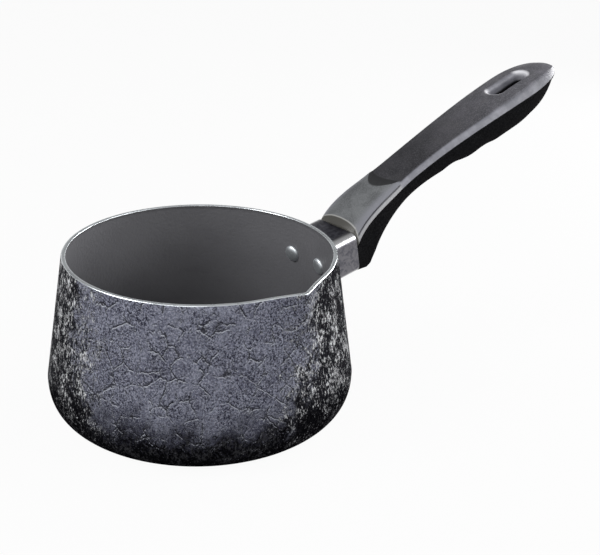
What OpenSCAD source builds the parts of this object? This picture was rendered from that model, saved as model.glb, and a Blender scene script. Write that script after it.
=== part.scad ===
// Saucepan: pressed belly pan with one pouring lip, riveted bracket,
// metal heat collar and a moulded handle with a hanging slot.
// Millimetres. Z up, base on Z = 0, pan axis on Z, handle along +X.

/* [Pan] */
// Outside diameter at the rim
rim_diameter = 140; // [100:1:240]
// Height from the base to the rim
pan_height = 85; // [50:1:180]
// How far the wall swells beyond the rim at the belly
belly_swell = 10.5; // [0:0.5:20]
// Height of the widest part above the base
belly_height = 19; // [8:0.5:50]
// Diameter of the flat base
base_diameter = 127; // [70:1:230]
// Squareness of the curve between base and belly
corner_power = 2.4; // [1.8:0.05:3.2]
// Wall thickness
wall = 2.3; // [1:0.1:5]
// Base thickness
base_thickness = 3.2; // [1.5:0.1:8]

/* [Pouring lip] */
// Direction of the lip, turned from the handle
lip_angle = -83; // [-180:1:180]
// How far the lip reaches beyond the rim
lip_reach = 5.6; // [2:0.1:14]
// Height of wall pressed out below the rim
lip_depth = 30; // [8:1:60]
// Radius of the lip's nose
lip_radius = 4.2; // [1.5:0.1:12]

/* [Rivets] */
// Distance of the rivets below the rim
rivet_drop = 22; // [10:0.5:50]
// Angle between the two rivets about the pan axis
rivet_spread = 18.8; // [10:0.1:40]
// Shank diameter
rivet_shank = 4.8; // [3:0.1:8]
// Diameter of the domed head inside the pan
rivet_head = 9.4; // [6:0.1:16]
// Height of the domed head
rivet_dome = 2; // [0.8:0.1:5]
// Diameter of the set tail
rivet_tail = 6.6; // [5:0.1:14]
// Height of the set tail
rivet_tail_height = 1.8; // [0.8:0.1:4]

/* [Bracket] */
// Sheet thickness
bracket_sheet = 2; // [1:0.1:4]
// Width of the plate on the pan wall
plate_width = 31.4; // [20:0.1:50]
// Height of the plate on the pan wall
plate_height = 14; // [8:0.5:30]
// Width of the tongue
tongue_width = 16; // [8:0.5:26]
// Length of tongue inside the handle
tongue_reach = 13; // [8:0.5:30]

/* [Collar] */
// Outside width
collar_width = 34.5; // [24:0.5:60]
// Outside height
collar_height = 24; // [14:0.5:50]
// Corner radius
collar_radius = 4.5; // [1:0.1:9]
// Sheet thickness
collar_sheet = 1; // [0.4:0.1:3]
// Distance of the collar's outer end from the rim
collar_length = 24.5; // [12:0.5:60]
// Height of the collar's outer end below the rim
collar_drop = 18.5; // [8:0.5:50]
// Upward tilt of the collar
collar_tilt = 11; // [0:0.5:30]

/* [Handle] */
// Length from the collar to the tip
handle_length = 175.5; // [110:0.5:300]
// Height of the neck's side crease above the rim
neck_rise = 17.9; // [0:0.1:50]
// Steepness of the handle at the neck as rise over run
handle_rise = 0.452; // [0.1:0.002:0.9]
// How quickly the handle flattens towards the tip
handle_flatten = 0.00063; // [0:0.00001:0.002]
// Depth of the dip where the handle leaves the collar
handle_dip = 6.4; // [0:0.1:12]
// Distance over which the dip fades out
dip_fade = 15; // [6:0.5:40]
// How far the side crease turns down where it meets the collar
crease_plunge = 4; // [0:0.5:8]
// Width at the collar
front_width = 35.8; // [24:0.2:60]
// Width at the neck
neck_width = 28.4; // [18:0.2:50]
// Width at the palm
palm_width = 36.5; // [20:0.1:60]
// Crown of the top face at the collar
front_crown = 4.7; // [1:0.1:8]
// Crown of the top face at the palm
palm_crown = 7.3; // [1:0.1:12]
// Thickness below the side crease at the neck
neck_depth = 14.9; // [7:0.1:25]
// Extra thickness below the side crease at the palm
palm_depth = 8; // [0:0.1:12]
// Depth of the heel below the side crease at the collar
heel_depth = 25.7; // [14:0.1:40]
// Distance from the collar to the heel's corner
heel_length = 18.4; // [8:0.1:40]
// Distance over which the underside climbs from the heel
heel_fade = 12.6; // [5:0.1:30]
// Share of width lost down the sides
side_taper = 0.28; // [0:0.01:0.6]
// How far the grip pad lies below the front of the top face
pad_drop = 1; // [0:0.1:3]
// Distance from the collar to the start of the slope down to the pad
pad_start = 23; // [20:0.5:60]
// Length of the slope down to the pad
pad_ramp = 10; // [3:0.5:20]
// How strongly the pad's front edge is bowed
pad_bow = 16; // [0:0.5:30]
// Height of the finger waves underneath
finger_wave = 0.7; // [0:0.1:2]
// Length of one finger wave
finger_pitch = 26; // [18:0.5:35]

/* [Hanging slot] */
// Length of the slot
slot_length = 29.5; // [12:0.5:50]
// Width of the slot
slot_width = 8.5; // [5:0.1:20]
// Distance from the slot's centre to the tip
slot_inset = 38; // [20:0.5:80]

/* [Handle screw] */
// Thread diameter
screw_diameter = 4; // [3:0.1:6]
// Head diameter
screw_head = 8; // [5:0.1:11]
// Head height
screw_head_height = 2.6; // [1.5:0.1:5]
// Plastic between the head and the tongue
screw_land = 5; // [2:0.1:10]
// Distance of the screw from the collar
screw_offset = 6.3; // [5:0.1:15]

/* [Fits] */
// Gap between parts that slide together
fit_gap = 0.25; // [0.1:0.05:0.8]
// Gap between riveted and butted faces
seat_gap = 0.1; // [0.05:0.05:0.5]

/* [Hidden] */
$fn = 96;
rim_radius = rim_diameter / 2;
belly_radius = rim_radius + belly_swell;
base_radius = base_diameter / 2;
wall_lean = atan2(belly_swell, pan_height - belly_height);
rivet_z = pan_height - rivet_drop;
seam_x = rim_radius + collar_length;
seam_z = pan_height - collar_drop;
tip_x = seam_x + handle_length;
neck_share = 0.26;
neck_x = seam_x + neck_share * handle_length;
palm_x = tip_x - slot_inset;
heel_x = seam_x + heel_length;
wave_x = neck_x + finger_pitch;
wave_count = 2;
collar_bore = collar_width - 2 * collar_sheet;
plate_fit = min(plate_width, collar_bore - 4 * fit_gap);
rivet_reach = wall_radius(rivet_z) + bracket_sheet + rivet_tail_height;
rivet_turn = min(rivet_spread / 2, asin((collar_bore - rivet_tail - 2 * seat_gap) / 2 / rivet_reach));
tongue_room = 2 * (rivet_reach * sin(rivet_turn) - rivet_tail / 2 - fit_gap);
tongue_fit = min(tongue_width, tongue_room);
front_lean = tan(collar_tilt);
lean_fade = 30;
plunge_fade = 5;
corner_steps = 16;
lip_inset = 0.4;
lip_half_angle = 27;
nose_steps = 8;
head_root = 0.6;
crown_power = 2.2;
chamfer_start = 0.76;
chamfer_share = 0.5;
chamfer_bow = 0.12;
edge_drop = 0.7;
overhang = 0.6;
side_power = 3.2;
side_start = 0.035;
pad_edge = 0.8;
pad_squeeze = 0.78;
beside_start = 0.66;
beside_share = 0.5;
top_shares = [0, 0.2, 0.4, 0.56, 0.66, 0.72, 0.78, 0.86, 0.92, 0.975];
side_steps = 5;
floor_steps = 5;
front_stations = 7;
pad_stations = 9;
body_stations = 20;
tip_stations = 9;
spigot = 4;
bracket_bury = 6;
side_end = 0.66;
floor_share = 0.86;
past = 1;

// Eased step from 0 to 1
function ease(t) = let (u = min(1, max(0, t))) u * u * (3 - 2 * u);

// Radius of the conical wall at height z
function wall_radius(z) =
  rim_radius + belly_swell * (pan_height - z) / (pan_height - belly_height);

// Side curve from the flat base at floor_z up to top_z, moved in by skin
function side_curve(skin, floor_z, top_z) =
  let (rb = belly_radius - skin,
       r0 = base_radius - skin,
       zb = belly_height)
  concat(
    [for (i = [0 : corner_steps])
      let (a = 90 * (1 - i / corner_steps))
      [r0 + (rb - r0) * pow(cos(a), 2 / corner_power),
       zb - (zb - floor_z) * pow(sin(a), 2 / corner_power)]],
    [[wall_radius(top_z) - skin, top_z]]);

// Solid of revolution inside the side curve
module turned(skin, floor_z, top_z) {
  rotate_extrude($fn = 144)
    polygon(concat([[0, floor_z]], side_curve(skin, floor_z, top_z), [[0, top_z]]));
}

// Wedge pressed out to the lip, moved in by skin and drawn up to rise above the rim
module lip_solid(skin, rise) {
  rim = rim_radius - skin - lip_inset;
  nose = lip_radius - skin;
  nose_x = rim_radius + lip_reach - lip_radius;
  low = [wall_radius(pan_height - lip_depth) - skin - lip_inset, 0, pan_height - lip_depth];
  wall_y = rim * sin(lip_half_angle);
  wall_x = rim * cos(lip_half_angle);
  reach = norm([wall_x - nose_x, wall_y]);
  swing = atan2(wall_y, wall_x - nose_x) - acos(nose / reach);
  arc = [for (i = [0 : nose_steps])
    let (a = swing * (1 - 2 * i / nose_steps))
    [nose_x + nose * cos(a), nose * sin(a), pan_height]];
  rim_points = concat([[wall_x, wall_y, pan_height]], arc, [[wall_x, -wall_y, pan_height]]);
  n = len(rim_points);
  grow = 1 + rise / lip_depth;
  points = concat([for (p = rim_points) low + (p - low) * grow], [low]);
  sides = [for (i = [0 : n - 1]) [i, n, (i + 1) % n]];
  rotate([0, 0, lip_angle])
    polyhedron(points = points, faces = concat([[for (i = [0 : n - 1]) i]], sides));
}

module pan_body() {
  color([0.3, 0.3, 0.33])
    difference() {
      union() {
        turned(0, 0, pan_height + past);
        lip_solid(0, past);
      }
      turned(wall, base_thickness, pan_height + 2 * past);
      lip_solid(wall, 2 * past);
      translate([0, 0, pan_height])
        cylinder(r = 2 * rim_radius, h = 4 * past);
      for (side = [-1, 1])
        at_rivet(side)
          translate([0, 0, -3 * wall])
            cylinder(d = rivet_shank + 2 * seat_gap, h = 6 * wall, $fn = 48);
    }
}

// Frame on the outside of the wall at a rivet, Z pointing outwards
module at_rivet(side) {
  rotate([0, 0, side * rivet_turn])
    translate([wall_radius(rivet_z), 0, rivet_z])
      rotate([0, 90 - wall_lean, 0])
        children();
}

module rivet(side) {
  plate_face = seat_gap + bracket_sheet;
  color([0.75, 0.76, 0.78]) {
    at_rivet(side)
      translate([0, 0, -wall - head_root])
        cylinder(d = rivet_shank, h = wall + head_root + plate_face + past, $fn = 48);
    intersection() {
      at_rivet(side)
        translate([0, 0, -wall - seat_gap])
          mirror([0, 0, 1])
            domed(rivet_head, rivet_dome);
      turned(wall + seat_gap, base_thickness, pan_height);
    }
    difference() {
      at_rivet(side)
        translate([0, 0, plate_face - head_root])
          cylinder(d = rivet_tail, h = rivet_tail_height + head_root, $fn = 48);
      turned(-plate_face - seat_gap, 0, pan_height);
    }
  }
}

// Shallow dome on a flat disc that reaches a little below the disc's plane
module domed(diameter, height) {
  sphere_r = (diameter * diameter / 4 + height * height) / (2 * height);
  intersection() {
    translate([0, 0, height - sphere_r])
      sphere(r = sphere_r, $fn = 96);
    translate([0, 0, -head_root])
      cylinder(d = diameter, h = height + past, $fn = 64);
  }
}

module rivet_left() {
  rivet(1);
}

module rivet_right() {
  rivet(-1);
}

// Frame at the middle of the collar's outer end, X along the collar
module at_seam() {
  translate([seam_x, 0, seam_z])
    rotate([0, -collar_tilt, 0])
      children();
}

// Upright rounded rectangle swept along X from x0 to x1
module rounded_bar(width, height, radius, x0, x1) {
  translate([x0, 0, 0])
    rotate([90, 0, 90])
      linear_extrude(height = x1 - x0)
        rounded_rectangle(width, height, radius);
}

module rounded_rectangle(width, height, radius) {
  square([width - 2 * radius, height], center = true);
  square([width, height - 2 * radius], center = true);
  for (sx = [-1, 1])
    for (sy = [-1, 1])
      translate([sx * (width / 2 - radius), sy * (height / 2 - radius)])
        circle(r = radius, $fn = 48);
}

module handle_bracket() {
  reach_back = collar_length + bracket_bury;
  color([0.62, 0.63, 0.65])
    difference() {
      union() {
        intersection() {
          turned(-seat_gap - bracket_sheet, 0, pan_height);
          translate([0, -plate_fit / 2, rivet_z - plate_height / 2])
            cube([2 * rim_radius, plate_fit, plate_height]);
        }
        at_seam()
          translate([-reach_back, -tongue_fit / 2, -bracket_sheet / 2])
            cube([reach_back + tongue_reach, tongue_fit, bracket_sheet]);
      }
      turned(-seat_gap, 0, pan_height);
      for (side = [-1, 1])
        at_rivet(side)
          translate([0, 0, -wall])
            cylinder(d = rivet_shank + 2 * seat_gap, h = 6 * bracket_sheet, $fn = 48);
      at_seam()
        translate([screw_offset, 0, 0])
          cylinder(d = screw_diameter + 2 * seat_gap, h = 4 * bracket_sheet, center = true, $fn = 48);
    }
}

module collar() {
  inner_radius = collar_radius - collar_sheet;
  color([0.8, 0.8, 0.82])
    difference() {
      at_seam()
        rounded_bar(collar_width, collar_height, collar_radius, -collar_length - bracket_bury, 0);
      at_seam()
        rounded_bar(collar_bore, collar_height - 2 * collar_sheet,
                    inner_radius, -2 * collar_length, past);
      turned(-seat_gap, 0, pan_height);
    }
}

// Line along the handle that its depth below and its crown above are laid out from
function line_z(x) =
  let (run = x - neck_x)
  pan_height + neck_rise + handle_rise * run - handle_flatten * run * run
  - handle_dip * exp(-(x - seam_x) / dip_fade);

// How far the side crease turns down below that line near the collar
function plunge(x) = crease_plunge * exp(-(x - seam_x) / plunge_fade);

// Closing factor towards the tip
function tip_close(x) =
  let (u = max(0, (x - palm_x) / (tip_x - palm_x))) sqrt(max(0, 1 - u * u));

// Half width along the handle
function half_width(x) =
  (x < neck_x
    ? neck_width + (front_width - neck_width) * (1 - ease((x - seam_x) / (neck_x - seam_x)))
    : neck_width + (palm_width - neck_width) * ease((x - neck_x) / (palm_x - neck_x)))
  / 2 * tip_close(x);

// Height of the middle of the top face above the line
function crown(x) =
  (front_crown + (palm_crown - front_crown) * (x - seam_x) / (palm_x - seam_x))
  * tip_close(x);

// Straight ramp from 0 to 1 with short rounded ends
function slope(t) =
  let (u = min(1, max(0, t)), soft = 0.14)
  u < soft ? u * u / (2 * soft * (1 - soft))
  : u > 1 - soft ? 1 - (1 - u) * (1 - u) / (2 * soft * (1 - soft))
  : (u - soft / 2) / (1 - soft);

// 0 on the raised front, 1 on the sunk pad; y_share runs from 0 to 1 across
function pad_share(x, y_share) =
  let (bow = pow(min(1, y_share / pad_edge), 2),
       ramp = pad_ramp * (1 - pad_squeeze * bow))
  slope((x - seam_x - pad_start - pad_bow * pad_edge * pad_edge * bow) / ramp);

// Rise of the top face beside the sunk pad: all of it in front, part along the edges
function pad_lift(x, y_share) =
  let (beside = beside_share * ease((y_share - beside_start) / 0.12))
  pad_drop * ease((x - seam_x) / pad_start) * (1 - pad_share(x, y_share) * (1 - beside))
  * (1 - ease((y_share - 0.88) / 0.12)) * tip_close(x);

// Finger waves under the grip, fading in and out over a third of a wave
function wave(x) =
  let (run = x - wave_x, fade = finger_pitch / 3)
  finger_wave * (1 - cos(360 * run / finger_pitch))
  * ease(run / fade) * ease((wave_count * finger_pitch - run) / fade);

// Depth of the underside below the line: flat heel, climbing curve, palm
function depth(x) =
  let (heel = heel_depth + line_z(x) - line_z(seam_x),
       corner = heel_depth + line_z(heel_x) - line_z(seam_x),
       palm = palm_depth * ease((x - neck_x) / (0.8 * (palm_x - neck_x))),
       grip = neck_depth + palm - wave(x) + (corner - neck_depth) * exp(-(x - heel_x) / heel_fade))
  min(grip, heel) * tip_close(x);

// Outer rounding of the sides and the underside, 1 at the crease, 0 at full depth
function side_round(t) = pow(1 - pow(t, side_power), 1 / side_power);

// Height of the top face from 1 in the middle to 0 at the edge: a crown, then a chamfer
function top_share(s) =
  let (c = max(0, (s - chamfer_start) / (1 - chamfer_start)),
       bent = c - chamfer_bow * sin(180 * c))
  (1 - chamfer_share) * (1 - pow(s, crown_power)) + chamfer_share * (1 - bent);

// One side of the handle's section from the top middle to the bottom middle
function half_section(x) =
  let (a = half_width(x), fall = plunge(x), close = tip_close(x),
       z0 = line_z(x) - fall, c = crown(x) + fall, d = depth(x) - fall,
       side = a - min(overhang, a / 4))
  concat(
    [for (s = top_shares) [a * s, z0 + c * top_share(s) + pad_lift(x, s)]],
    [[a, z0 - 0.3 * edge_drop * close]],
    [for (i = [0 : side_steps])
      let (t = side_start + (side_end - side_start) * i / side_steps)
      [side * (1 - side_taper * t) * side_round(t), z0 - d * t - edge_drop * close * (1 - t)]],
    [for (i = [1 : floor_steps])
      let (w = 1 - i / floor_steps)
      [a * (1 - side_taper) * floor_share * w, z0 - d * side_round(0.9 * w)]]);

// Closed section; the front leans with the collar's end
function section(x) =
  let (half = half_section(x),
       n = len(half),
       lean = front_lean * (1 - ease((x - seam_x) / lean_fade)),
       ring = concat(half, [for (i = [n - 2 : -1 : 1]) [-half[i][0], half[i][1]]]))
  [for (p = ring) [x - lean * (p[1] - seam_z), p[0], p[1]]];

// Distances along the handle at which a section is taken, closer at the pad's front and the tip
function stations() =
  let (pad_x = seam_x + pad_start, pad_end = pad_x + pad_bow * pad_edge * pad_edge + pad_ramp)
  concat(
    [for (i = [0 : front_stations]) seam_x + pad_start * i / front_stations],
    [for (i = [1 : pad_stations]) pad_x + (pad_end - pad_x) * i / pad_stations],
    [for (i = [1 : body_stations]) pad_end + (palm_x - pad_end) * i / body_stations],
    [for (j = [1 : tip_stations - 1])
      palm_x + (tip_x - palm_x) * sin(90 * j / tip_stations)]);

module handle_blank() {
  xs = stations();
  rings = [for (x = xs) section(x)];
  n = len(rings[0]);
  m = len(xs);
  points = concat([for (r = rings) for (p = r) p], [[tip_x, 0, line_z(tip_x)]]);
  skin = [for (k = [0 : m - 2]) for (i = [0 : n - 1])
    let (j = (i + 1) % n)
    each [[k * n + i, k * n + j, (k + 1) * n + i],
          [k * n + j, (k + 1) * n + j, (k + 1) * n + i]]];
  front = [[for (i = [n - 1 : -1 : 0]) i]];
  nose = [for (i = [0 : n - 1]) [(m - 1) * n + i, (m - 1) * n + (i + 1) % n, m * n]];
  polyhedron(points = points, faces = concat(skin, front, nose), convexity = 6);
}

// Hanging slot cut square to the handle
module slot_cutter() {
  tilt = atan(handle_rise - 2 * handle_flatten * (palm_x - neck_x));
  deep = 4 * (neck_depth + palm_depth);
  straight = slot_length - slot_width;
  translate([palm_x, 0, line_z(palm_x)])
    rotate([0, -tilt, 0])
      translate([0, 0, -deep / 2])
        linear_extrude(height = deep) {
          square([straight, slot_width], center = true);
          for (s = [-1, 1])
            translate([s * straight / 2, 0])
              circle(d = slot_width, $fn = 48);
        }
}

module handle() {
  head_z = -bracket_sheet / 2 - screw_land;
  deep = 2 * heel_depth;
  color([0.12, 0.12, 0.13])
    difference() {
      union() {
        handle_blank();
        at_seam()
          rounded_bar(collar_bore - 2 * fit_gap,
                      collar_height - 2 * collar_sheet - 2 * fit_gap,
                      collar_radius - collar_sheet - fit_gap, -spigot, past);
      }
      slot_cutter();
      at_seam() {
        translate([-spigot - past, -tongue_fit / 2 - fit_gap, -bracket_sheet / 2 - fit_gap])
          cube([spigot + past + tongue_reach + past,
                tongue_fit + 2 * fit_gap, bracket_sheet + 2 * fit_gap]);
        translate([screw_offset, 0, -deep]) {
          cylinder(d = screw_diameter + 2 * fit_gap, h = deep + spigot, $fn = 48);
          cylinder(d = screw_head + 2 * fit_gap, h = deep + head_z, $fn = 48);
        }
      }
    }
}

// Round-headed screw with a cross recess, entering from underneath
module handle_screw() {
  head_z = -bracket_sheet / 2 - screw_land;
  recess = screw_head / 8;
  color([0.7, 0.7, 0.72])
    at_seam()
      translate([screw_offset, 0, head_z])
        difference() {
          union() {
            translate([0, 0, -seat_gap - screw_head_height])
              cylinder(d = screw_head, h = screw_head_height, $fn = 48);
            translate([0, 0, -past])
              cylinder(d = screw_diameter, h = past + screw_land + bracket_sheet + past, $fn = 48);
          }
          for (turn = [0, 90])
            rotate([0, 0, turn])
              translate([-0.3 * screw_head, -recess / 2, -screw_head_height - past])
                cube([0.6 * screw_head, recess, past + 0.5 * screw_head_height]);
        }
}

pan_body();
handle_bracket();
rivet_left();
rivet_right();
collar();
handle();
handle_screw();
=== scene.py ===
"""Looks of the belly saucepan with one pouring lip: a pressed and coated pan, two
rivets, a bent bracket, a polished heat collar, and a moulded handle held by a screw.
Metres. Base on Z = 0, pan axis on Z, handle along +X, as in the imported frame."""

import math

import bpy
from mathutils import Matrix, Quaternion, Vector
from mathutils.bvhtree import BVHTree


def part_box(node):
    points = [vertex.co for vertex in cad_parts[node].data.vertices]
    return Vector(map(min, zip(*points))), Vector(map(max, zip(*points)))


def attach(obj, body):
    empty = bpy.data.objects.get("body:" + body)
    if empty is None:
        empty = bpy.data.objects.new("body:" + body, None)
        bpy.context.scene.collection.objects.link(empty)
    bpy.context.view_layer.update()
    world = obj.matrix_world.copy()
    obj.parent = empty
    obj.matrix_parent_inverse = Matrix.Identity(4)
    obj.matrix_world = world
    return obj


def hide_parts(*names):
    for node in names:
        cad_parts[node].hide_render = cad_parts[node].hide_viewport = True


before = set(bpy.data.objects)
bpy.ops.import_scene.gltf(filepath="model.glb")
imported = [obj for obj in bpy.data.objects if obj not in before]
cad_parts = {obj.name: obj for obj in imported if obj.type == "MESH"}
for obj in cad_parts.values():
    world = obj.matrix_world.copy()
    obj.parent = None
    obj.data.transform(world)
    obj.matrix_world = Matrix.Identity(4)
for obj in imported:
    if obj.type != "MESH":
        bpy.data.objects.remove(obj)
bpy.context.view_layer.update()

MM = 0.001

# Pan
RIM_R = 70 * MM
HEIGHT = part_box("pan_body")[1].z
BELLY_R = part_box("pan_body")[1].y
BELLY_Z = 19 * MM
BASE_R = 63.5 * MM
CORNER_POWER = 2.4
WALL = 2.3 * MM
FLOOR = 3.2 * MM
RIM_ROUND = 0.7 * MM
BARE_EDGE = 0.45 * RIM_ROUND
FLOOR_RINGS = (20 * MM, 45 * MM)
CORNER_RINGS = 20
PAN_SIDES = 384

# Pouring lip
LIP_ANGLE = math.radians(-83)
LIP_REACH = 5.6 * MM
LIP_DEPTH = 30 * MM
LIP_Z = HEIGHT - LIP_DEPTH
LIP_RADIUS = 4.2 * MM
LIP_INSET = 0.4 * MM
LIP_HALF_ANGLE = math.radians(27)
LIP_SOFT = 2.2 * MM
LIP_FADE = 18 * MM

# Rivets
RIVET_Z = HEIGHT - 22 * MM
RIVET_SPREAD = math.radians(18.8)
RIVET_HEAD_R = 4.7 * MM
RIVET_DOME = 2 * MM
RIVET_SHANK_R = 2.4 * MM
RIVET_TAIL_R = 3.3 * MM
RIVET_TAIL_H = 1.8 * MM
RIVET_TAIL_ROUND = 0.6 * MM
PLATE_FACE = 2.1 * MM
SEAT = 0.1 * MM

# Collar
COLLAR_W = 34.5 * MM
COLLAR_H = 24 * MM
COLLAR_R = 4.5 * MM
COLLAR_SHEET = 1 * MM
COLLAR_LENGTH = 24.5 * MM
COLLAR_BURY = 6 * MM
COLLAR_EDGE = 0.3 * MM
TILT = math.radians(11)
SEAM_X = RIM_R + COLLAR_LENGTH
SEAM_Z = HEIGHT - 18.5 * MM

# Handle
TIP_X = SEAM_X + 175.5 * MM
NECK_X = SEAM_X + 0.26 * (TIP_X - SEAM_X)
PALM_X = TIP_X - 38 * MM
NECK_RISE = 17.9 * MM
RISE = 0.452
FLATTEN = 0.63
DIP = 6.4 * MM
DIP_FADE = 15 * MM
PLUNGE = 4 * MM
PLUNGE_FADE = 5 * MM
FRONT_W = 35.8 * MM
NECK_W = 28.4 * MM
PALM_W = 36.5 * MM
FRONT_CROWN = 4.7 * MM
PALM_CROWN = 7.3 * MM
NECK_DEPTH = 14.9 * MM
PALM_DEPTH = 8 * MM
HEEL_DEPTH = 25.7 * MM
HEEL_X = SEAM_X + 18.4 * MM
HEEL_FADE = 12.6 * MM
SIDE_TAPER = 0.28
PAD_DROP = 1 * MM
PAD_START = 23 * MM
PAD_RAMP = 10 * MM
PAD_BOW = 16 * MM
PAD_EDGE = 0.8
WAVE = 0.7 * MM
WAVE_PITCH = 26 * MM
SLOT_L = 29.5 * MM
SLOT_W = 8.5 * MM
SLOT_ROUND = 4 * MM
SLOT_FLARE = 0.87
CHAMFER_START = 0.76
CHAMFER_SHARE = 0.5
TOP_STEPS = 26
TOP_SWEEP = math.radians(82)
TOP_EDGE = 0.975
EDGE_DROP = 0.7 * MM
OVERHANG = 0.6 * MM
SIDE_STEPS = 14
SIDE_END = 0.66
FLOOR_STEPS = 8
FLOOR_SHARE = 0.86
LEAN_FADE = 30 * MM
EDGE_HIGHLIGHT_START = 190 * MM
EDGE_HIGHLIGHT_END = 260 * MM

# Handle screw
SCREW_OFFSET = 6.3 * MM
SCREW_R = 2 * MM
SCREW_HEAD_R = 4 * MM
SCREW_HEAD_H = 2.6 * MM
SCREW_HEAD_ROUND = 1.4 * MM
SCREW_END = 1 * MM
SCREW_BEVEL = 0.4 * MM
CROSS_L = 4.8 * MM
CROSS_W = 1 * MM
SCREW_LAND = 5 * MM
BRACKET_SHEET = 2 * MM

# Middle of the least burnt side, round the pan
FRONT_MIDDLE = math.radians(-128.5)


# ---------------------------------------------------------------- modelling helpers

def deselect():
    if bpy.context.object and bpy.context.object.mode != "OBJECT":
        bpy.ops.object.mode_set(mode="OBJECT")
    bpy.ops.object.select_all(action="DESELECT")


def use(piece):
    deselect()
    piece.select_set(True)
    bpy.context.view_layer.objects.active = piece


def settle(piece, place):
    """Puts a finished mesh in its place and leaves its object at the origin."""
    piece.matrix_world = place
    use(piece)
    bpy.ops.object.transform_apply(location=True, rotation=True, scale=True)


def apply_modifier(piece, kind, **settings):
    use(piece)
    modifier = piece.modifiers.new(kind.title(), kind)
    for key, value in settings.items():
        setattr(modifier, key, value)
    bpy.ops.object.modifier_apply(modifier=modifier.name)


def cut(piece, tool):
    apply_modifier(piece, "BOOLEAN", operation="DIFFERENCE", solver="EXACT", object=tool)
    bpy.data.objects.remove(tool)


def smooth(piece, degrees):
    use(piece)
    bpy.ops.object.shade_smooth_by_angle(angle=math.radians(degrees))


def face_outward(piece):
    use(piece)
    bpy.ops.object.mode_set(mode="EDIT")
    bpy.ops.mesh.select_all(action="SELECT")
    bpy.ops.mesh.normals_make_consistent(inside=False)
    bpy.ops.object.mode_set(mode="OBJECT")


def turned(name, profile, sides):
    """A ring of edges drawn up from ring to ring along a profile of (radius, height).
    A radius of 0 at either end closes it with a pole."""
    deselect()
    rings = [p for p in profile if p[0] > 0]
    radius, height = rings[0]
    bpy.ops.mesh.primitive_circle_add(vertices=sides, radius=radius, location=(0, 0, 0))
    piece = bpy.context.object
    piece.name = piece.data.name = name
    bpy.ops.object.mode_set(mode="EDIT")
    bpy.ops.mesh.select_mode(type="VERT")
    bpy.ops.mesh.select_all(action="SELECT")
    bpy.ops.transform.translate(value=(0, 0, height))
    if profile[0][0] == 0:
        bpy.ops.mesh.extrude_region_move()
        bpy.ops.mesh.merge(type="CENTER")
        bpy.ops.transform.translate(value=(0, 0, profile[0][1] - height))
        bpy.ops.mesh.select_all(action="INVERT")
    for next_radius, next_height in rings[1:]:
        step = (0, 0, next_height - height)
        bpy.ops.mesh.extrude_region_move(TRANSFORM_OT_translate={"value": step})
        share = next_radius / radius
        bpy.ops.transform.resize(value=(share, share, 1), center_override=(0, 0, next_height))
        radius, height = next_radius, next_height
    if profile[-1][0] == 0:
        bpy.ops.mesh.extrude_region_move()
        bpy.ops.mesh.merge(type="CENTER")
        bpy.ops.transform.translate(value=(0, 0, profile[-1][1] - height))
    bpy.ops.mesh.select_all(action="SELECT")
    bpy.ops.mesh.normals_make_consistent(inside=False)
    bpy.ops.object.mode_set(mode="OBJECT")
    return piece


def tube(name, stations, sides):
    """A closed tube of unit radius with a ring at each whole height, to be laid out
    station by station."""
    rings = [(1, i) for i in range(stations)]
    return turned(name, [(0, 0)] + rings + [(0, stations - 1)], sides)


def is_pole(vertex):
    return math.hypot(vertex.co.x, vertex.co.y) < 0.5


def ease(t):
    u = min(1.0, max(0.0, t))
    return u * u * (3 - 2 * u)


def span(low, high, steps):
    """Even steps from low to high, both ends included."""
    return [low + (high - low) * i / steps for i in range(steps + 1)]


def arc(centre, radius, start, end, steps):
    """Points (radius, height) round a centre, from one angle to another in degrees."""
    return [(centre[0] + radius * math.cos(math.radians(a)),
             centre[1] + radius * math.sin(math.radians(a))) for a in span(start, end, steps)]


# ---------------------------------------------------------------- pan

def wall_radius(z):
    return RIM_R + (BELLY_R - RIM_R) * (HEIGHT - z) / (HEIGHT - BELLY_Z)


def corner_curve(skin, floor_z, steps):
    """Curve from the flat base to the belly, moved in by skin."""
    points = []
    for a in span(math.pi / 2, 0, steps):
        share = max(0.0, math.cos(a)) ** (2 / CORNER_POWER)
        drop = math.sin(a) ** (2 / CORNER_POWER)
        points.append((BASE_R - skin + (BELLY_R - BASE_R) * share,
                       BELLY_Z - (BELLY_Z - floor_z) * drop))
    return points


def wall_line(skin, top_z):
    """Straight wall above the belly, closer rings where the lip is pressed."""
    heights = span(BELLY_Z, LIP_Z, 8)[1:] + span(LIP_Z, top_z, 16)[1:]
    return [(wall_radius(z) - skin, z) for z in heights]


def pan_profile():
    outside = [(0, 0)] + [(radius, 0) for radius in FLOOR_RINGS]
    outside += corner_curve(0, 0, CORNER_RINGS) + wall_line(0, HEIGHT - RIM_ROUND)
    rim_out = wall_radius(HEIGHT) - RIM_ROUND
    rim_in = wall_radius(HEIGHT) - WALL + RIM_ROUND
    rim = arc((rim_out, HEIGHT - RIM_ROUND), RIM_ROUND, 10, 90, 4)
    rim += arc((rim_in, HEIGHT - RIM_ROUND), RIM_ROUND, 90, 170, 4)
    inside = [(0, FLOOR)] + [(radius, FLOOR) for radius in FLOOR_RINGS]
    inside += corner_curve(WALL, FLOOR, CORNER_RINGS) + wall_line(WALL, HEIGHT - RIM_ROUND)
    return outside + rim + inside[::-1]


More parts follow.
